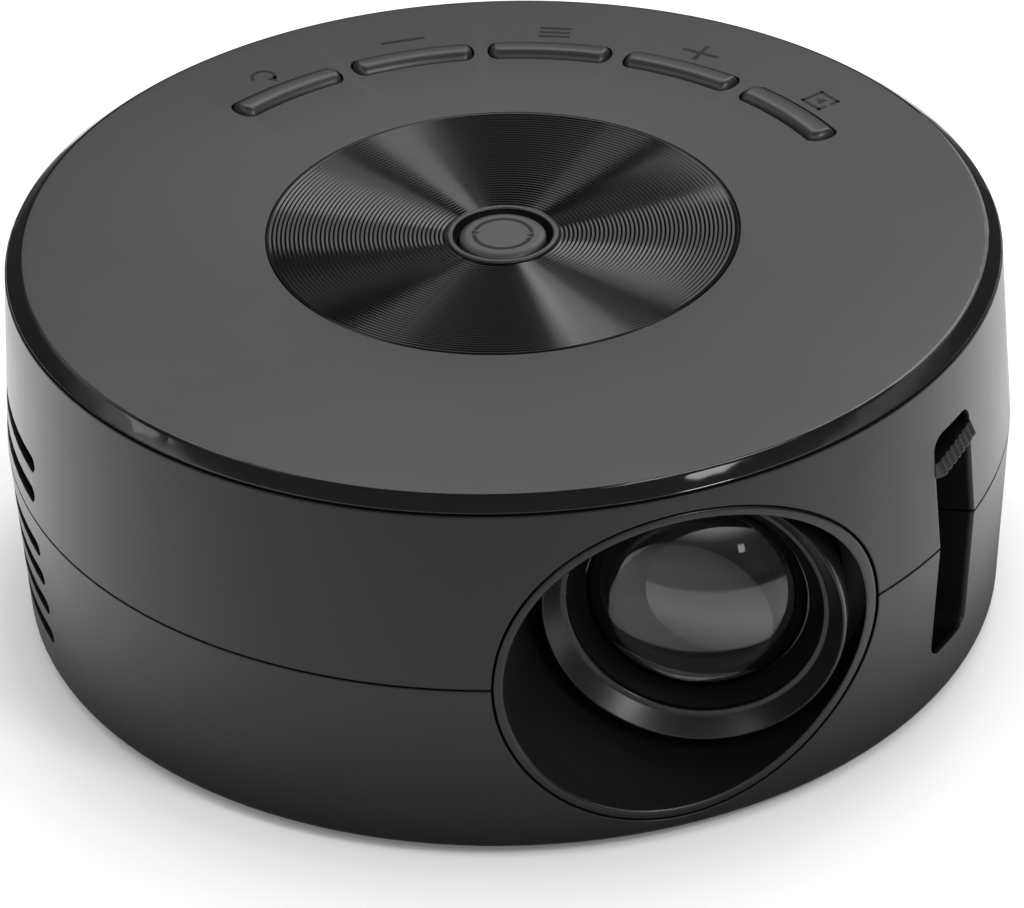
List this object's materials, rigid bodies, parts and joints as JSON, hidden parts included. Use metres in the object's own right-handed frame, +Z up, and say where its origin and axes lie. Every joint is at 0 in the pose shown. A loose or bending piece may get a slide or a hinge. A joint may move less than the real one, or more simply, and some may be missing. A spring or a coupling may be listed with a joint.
{
  "type": "video projector",
  "caption": "Low round video projector with a recessed lens, a side lever that focuses it, arc keys and a push button in a spun disc, a fan behind side vents and sockets at the rear.",
  "frame": {"origin": "on the table under the middle of the round body", "axes": "+Z up, the lens looks along -Y, the focus lever is at +X"},
  "size_m": [0.128, 0.128, 0.0518],
  "materials": {
    "top_matte": "matte, fine spark texture, with a polished chamfer",
    "shell_black": "satin black",
    "disc_metal": "spun, black anodised",
    "key_black": "satin black",
    "lever_black": "satin black",
    "barrel_black": "dull black",
    "lens_glass": "clear, polished",
    "panel_dark": "dark panel glass",
    "reflector": "bright",
    "lamp_board": "white",
    "sink_metal": "as extruded",
    "steel": "zinc plated",
    "fan_black": "moulded",
    "speaker_grey": "stamped",
    "board_green": "solder mask",
    "part_black": "moulded",
    "flex_amber": "film",
    "cable_white": "flat cable",
    "brass": "turned",
    "rubber": "dull"
  },
  "bodies": {
    "housing": {"top_cover": "top_matte", "upper_shell": "shell_black", "lower_shell": "shell_black", "spun_disc": "disc_metal", "button_collar": "shell_black", "lens_bezel": "shell_black", "focus_clip": "steel", "lens_mount": "barrel_black", "optics_box": "barrel_black", "field_lens": "lens_glass", "panel_frame": "barrel_black", "lcd_panel": "panel_dark", "heat_glass": "lens_glass", "condenser_lens": "lens_glass", "light_tunnel": "reflector", "led_board": "lamp_board", "heat_sink": "sink_metal", "sink_screws": "steel", "fan_frame": "fan_black", "speaker_basket": "speaker_grey", "speaker_cone": "speaker_grey", "main_board": "board_green", "board_parts": "part_black", "board_screws": "steel", "usb_socket": "steel", "audio_jack": "part_black", "power_jack": "part_black", "port_panel": "shell_black", "key_board": "board_green", "key_switches": "part_black", "key_board_screws": "steel", "panel_flex": "flex_amber", "key_ribbon": "cable_white", "fan_lead": "cable_white", "speaker_lead": "cable_white", "led_lead": "cable_white", "cover_screws": "steel", "case_screws": "steel", "tripod_insert": "brass", "foot_pads": "rubber"},
    "focus": {"focus_ring": "lever_black"},
    "lens": {"lens_barrel": "barrel_black", "nose_ring": "shell_black", "front_lens": "lens_glass", "lens_retainer": "barrel_black", "rear_lens": "lens_glass", "rear_retainer": "barrel_black", "focus_pin": "steel"},
    "fan": {"fan_rotor": "fan_black"},
    "button": {"center_button": "shell_black"},
    "return_key": {"key_return": "key_black"},
    "minus_key": {"key_minus": "key_black"},
    "menu_key": {"key_menu": "key_black"},
    "plus_key": {"key_plus": "key_black"},
    "input_key": {"key_input": "key_black"}
  },
  "joints": [
    {"name": "focus_turn", "type": "hinge", "parent": "housing", "child": "focus", "pos_m": [0.0285, -0.0244, 0.0251], "axis": [0, 1, 0], "range_deg": [-2, 47]},
    {"name": "focus_slide", "type": "slide", "parent": "housing", "child": "lens", "axis": [0, 1, 0], "range_m": [-0.00009, 0.0042]},
    {"name": "fan_spin", "type": "hinge", "parent": "housing", "child": "fan", "pos_m": [-0.05129, 0, 0.0234], "axis": [1, 0, 0], "continuous": true},
    {"name": "button_press", "type": "slide", "parent": "housing", "child": "button", "axis": [0, 0, -1], "range_m": [0, 0.0006], "stiffness_N_per_m": 800, "springref_m": -0.0003},
    {"name": "return_press", "type": "slide", "parent": "housing", "child": "return_key", "axis": [0, 0, -1], "range_m": [0, 0.0006], "stiffness_N_per_m": 800, "springref_m": -0.0003},
    {"name": "minus_press", "type": "slide", "parent": "housing", "child": "minus_key", "axis": [0, 0, -1], "range_m": [0, 0.0006], "stiffness_N_per_m": 800, "springref_m": -0.0003},
    {"name": "menu_press", "type": "slide", "parent": "housing", "child": "menu_key", "axis": [0, 0, -1], "range_m": [0, 0.0006], "stiffness_N_per_m": 800, "springref_m": -0.0003},
    {"name": "plus_press", "type": "slide", "parent": "housing", "child": "plus_key", "axis": [0, 0, -1], "range_m": [0, 0.0006], "stiffness_N_per_m": 800, "springref_m": -0.0003},
    {"name": "input_press", "type": "slide", "parent": "housing", "child": "input_key", "axis": [0, 0, -1], "range_m": [0, 0.0006], "stiffness_N_per_m": 800, "springref_m": -0.0003}
  ],
  "couplings": [
    {"joint": "focus_turn", "follows": "focus_slide", "rad_per_m": 191.16}
  ]
}
